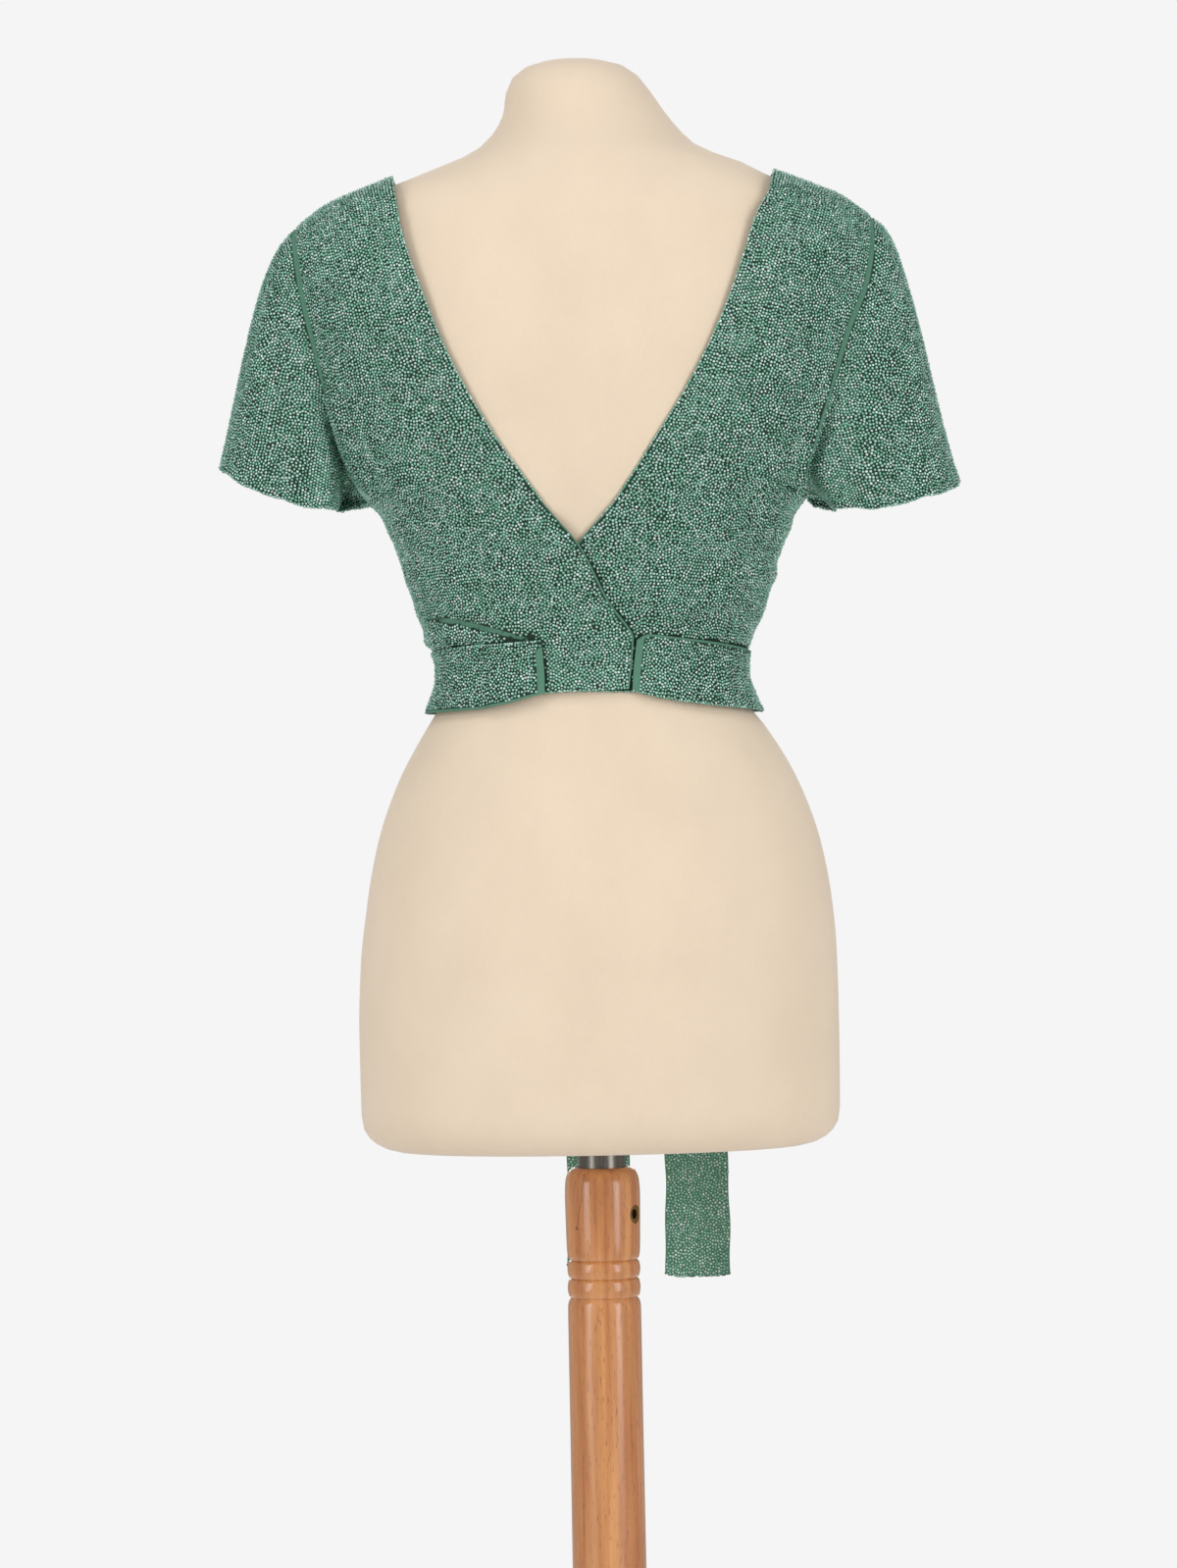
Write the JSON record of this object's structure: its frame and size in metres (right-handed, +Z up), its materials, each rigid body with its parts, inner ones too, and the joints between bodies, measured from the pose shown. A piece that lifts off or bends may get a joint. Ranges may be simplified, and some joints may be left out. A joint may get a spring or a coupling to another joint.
{
  "type": "beaded wrap top on a dress form",
  "caption": "Short-sleeved beaded crop top that wraps over itself at the back and ties in front, on a limbless dress form with a turned wooden pole.",
  "frame": {"origin": "centre of the underside of the round base, under the pole's axis", "axes": "+Z up; -Y is the garment's back, where it wraps over itself; +Y is its front, where the ties are knotted; +X is to the right when the back is looked at"},
  "size_m": [0.5285, 0.38, 1.5732],
  "materials": {
    "beaded_cloth": "fine cloth covered with small round glass beads",
    "form_jersey": "cream cotton jersey stretched over a moulded form",
    "beech": "varnished beech",
    "steel": "plain polished steel",
    "brass": "dull brass"
  },
  "bodies": {
    "stand": {"stand_base": "beech", "stand_pole": "beech", "stand_insert": "brass", "stand_set_screw": "steel"},
    "mast": {"stand_mast": "steel"},
    "figure": {"form_torso": "form_jersey", "back_left": "beaded_cloth", "back_right": "beaded_cloth", "front": "beaded_cloth", "sleeve_left": "beaded_cloth", "sleeve_right": "beaded_cloth", "tie_left": "beaded_cloth", "tie_right": "beaded_cloth", "tie_knot": "beaded_cloth", "tie_end_left": "beaded_cloth", "tie_end_right": "beaded_cloth"}
  },
  "joints": [
    {"name": "height_slide", "type": "slide", "parent": "stand", "child": "mast", "axis": [0, 0, 1], "range_m": [-0.008, 0.15]},
    {"name": "figure_turn", "type": "hinge", "parent": "mast", "child": "figure", "pos_m": [0, 0, 0.8], "axis": [0, 0, 1], "continuous": true}
  ]
}
